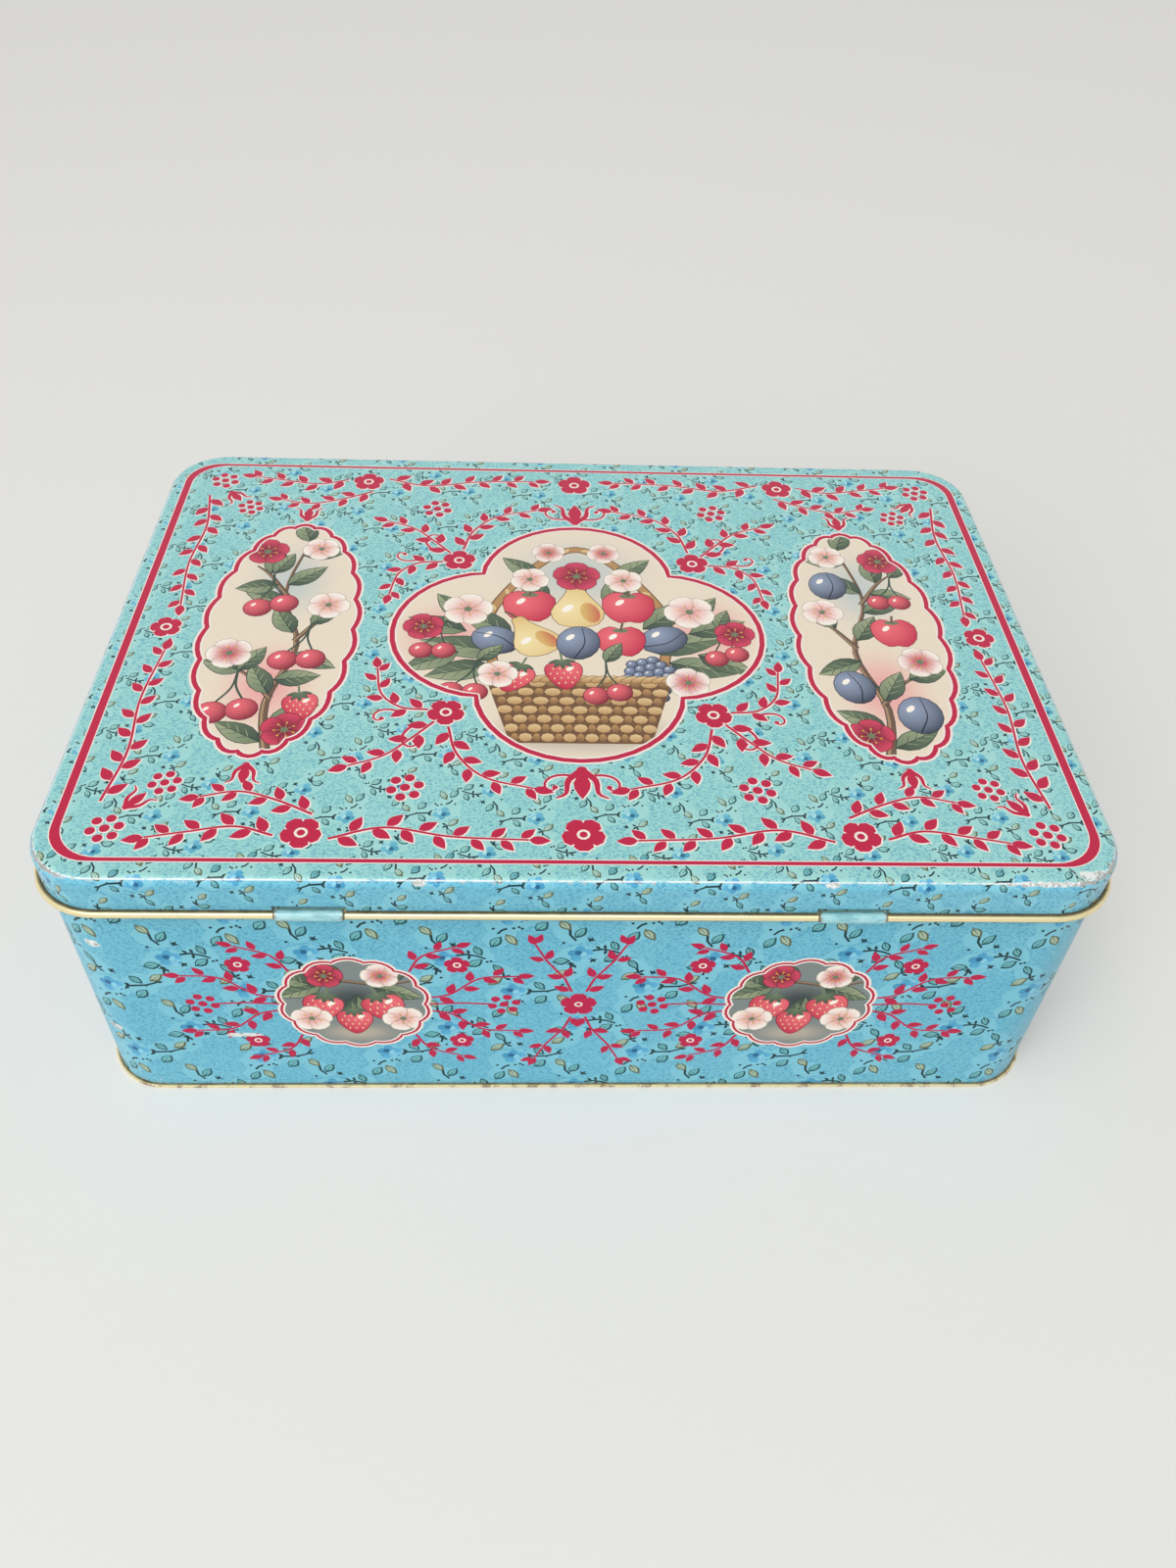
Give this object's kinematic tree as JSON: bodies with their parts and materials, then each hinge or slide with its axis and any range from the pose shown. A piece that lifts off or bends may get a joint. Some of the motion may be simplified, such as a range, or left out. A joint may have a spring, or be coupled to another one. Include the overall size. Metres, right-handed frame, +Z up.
{
  "type": "hinged tin box",
  "caption": "Rectangular printed tin box with rounded corners, a hinged lid with a rolled gold bead, strap hinges and a recessed seamed base.",
  "frame": {"origin": "middle of the tin on the surface it stands on", "axes": "+Z up, +X along the length, -Y towards the hinge side"},
  "size_m": [0.2834, 0.2038, 0.095],
  "materials": {
    "lid_print": "varnished aqua print on tinplate, gold lacquer inside and on the rolled bead",
    "wall_print": "varnished aqua print on tinplate, gold lacquer inside",
    "gold_lacquer": "gold lacquered tinplate",
    "strap_enamel": "plain pale blue enamel on tinplate",
    "bright_wire": "drawn steel wire"
  },
  "bodies": {
    "tin": {"body_wall": "wall_print", "base_panel": "gold_lacquer", "hinge_strap_left": "strap_enamel", "hinge_strap_right": "strap_enamel"},
    "lid": {"lid": "lid_print", "hinge_wire": "bright_wire"}
  },
  "joints": [
    {"name": "lid_hinge", "type": "hinge", "parent": "tin", "child": "lid", "pos_m": [0, -0.1007, 0.083], "axis": [1, 0, 0], "range_deg": [0, 180]}
  ]
}
